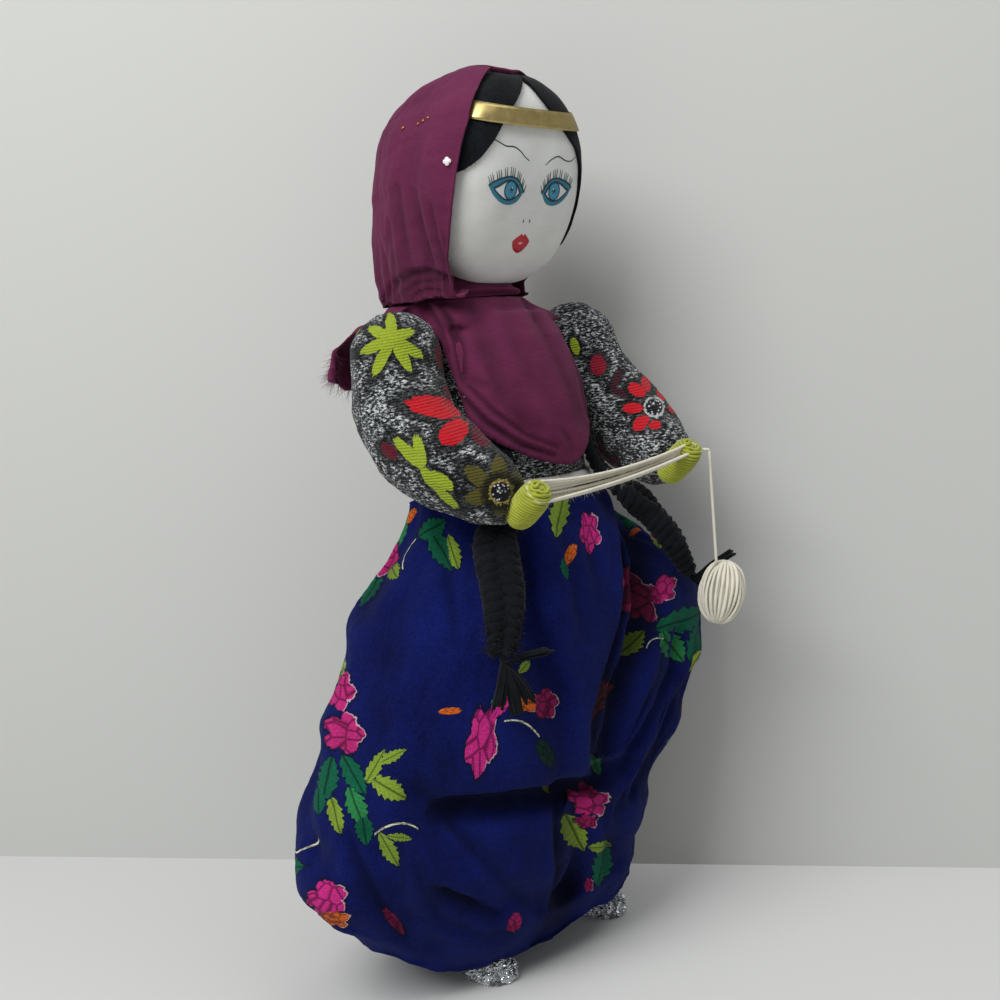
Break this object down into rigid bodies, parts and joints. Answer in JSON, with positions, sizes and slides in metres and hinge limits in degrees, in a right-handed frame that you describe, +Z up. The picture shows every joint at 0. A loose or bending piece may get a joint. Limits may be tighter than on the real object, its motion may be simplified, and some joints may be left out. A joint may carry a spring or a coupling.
{
  "type": "rag doll",
  "caption": "Handmade standing rag doll in headscarf, knitted blouse and baggy flowered trousers, winding wool between both hands.",
  "frame": {"origin": "middle of the doll's box on the ground, under its soles", "axes": "+Z up, the doll faces -Y, its right hand is on the -X side; the mould of the body is symmetric about a plane 10.4 mm to the +X side of x = 0"},
  "size_m": [0.2506, 0.163, 0.4514],
  "materials": {
    "calico": "undyed stuffed cotton, matt",
    "wire": "bare iron wire",
    "felt": "black felt",
    "gold_foil": "thin gold-coloured foil strip",
    "plum_cloth": "plum woven scarf cloth",
    "knit": "mottled grey knit with printed flowers",
    "green_wool": "lime green wool yarn",
    "cream_wool": "cream wool yarn",
    "black_yarn": "black wool yarn",
    "blue_flannel": "royal blue brushed flannel with printed roses",
    "white_cloth": "white cotton",
    "bead": "pearly white bead",
    "tinsel": "crinkled silver tinsel cloth"
  },
  "bodies": {
    "body": {"wire_frame": "wire", "torso": "calico", "neck": "calico", "blouse_body": "knit", "waist_sash": "white_cloth", "scarf_wrap": "plum_cloth", "trousers": "blue_flannel", "trouser_wadding": "calico", "right_leg": "calico", "left_leg": "calico", "right_foot_wrap": "tinsel", "left_foot_wrap": "tinsel", "right_plait_upper": "black_yarn", "left_plait_upper": "black_yarn"},
    "head_and_hood": {"head": "calico", "hair_right": "felt", "hair_left": "felt", "headband": "gold_foil", "headscarf_hood": "plum_cloth", "scarf_bead": "bead"},
    "right_arm": {"right_arm_wire": "wire", "right_sleeve": "knit", "right_hand_core": "calico", "right_hand_winding": "green_wool", "wool_skein": "cream_wool"},
    "left_arm": {"left_arm_wire": "wire", "left_sleeve": "knit", "left_hand_core": "calico", "left_hand_winding": "green_wool"},
    "wool_ball": {"hanging_strand": "cream_wool", "yarn_ball_core": "cream_wool", "yarn_ball_winding": "cream_wool"},
    "right_plait": {"right_plait_end": "black_yarn", "right_plait_tuft": "black_yarn"},
    "left_plait": {"left_plait_end": "black_yarn", "left_plait_tuft": "black_yarn"}
  },
  "joints": [
    {"name": "neck_turn", "type": "hinge", "parent": "body", "child": "head_and_hood", "pos_m": [0.00904, 0.0281, 0.33915], "axis": [0, 0, 1], "range_deg": [-20, 20]},
    {"name": "right_shoulder", "type": "hinge", "parent": "body", "child": "right_arm", "pos_m": [-0.05016, 0.0174, 0.313], "axis": [-1, 0, 0], "range_deg": [0, 30]},
    {"name": "left_shoulder", "type": "hinge", "parent": "body", "child": "left_arm", "pos_m": [0.06824, 0.0174, 0.313], "axis": [-1, 0, 0], "range_deg": [0, 30]},
    {"name": "ball_swing", "type": "hinge", "parent": "left_arm", "child": "wool_ball", "pos_m": [0.06974, -0.0707, 0.2553], "axis": [-1, 0, 0], "range_deg": [-4, 40]},
    {"name": "right_plait_swing", "type": "hinge", "parent": "body", "child": "right_plait", "pos_m": [-0.04146, -0.0349, 0.227], "axis": [-1, 0, 0], "range_deg": [0, 25]},
    {"name": "left_plait_swing", "type": "hinge", "parent": "body", "child": "left_plait", "pos_m": [0.05954, -0.0349, 0.227], "axis": [-1, 0, 0], "range_deg": [0, 14]}
  ],
  "couplings": [
    {"joint": "left_shoulder", "follows": "right_shoulder", "ratio": 1}
  ]
}
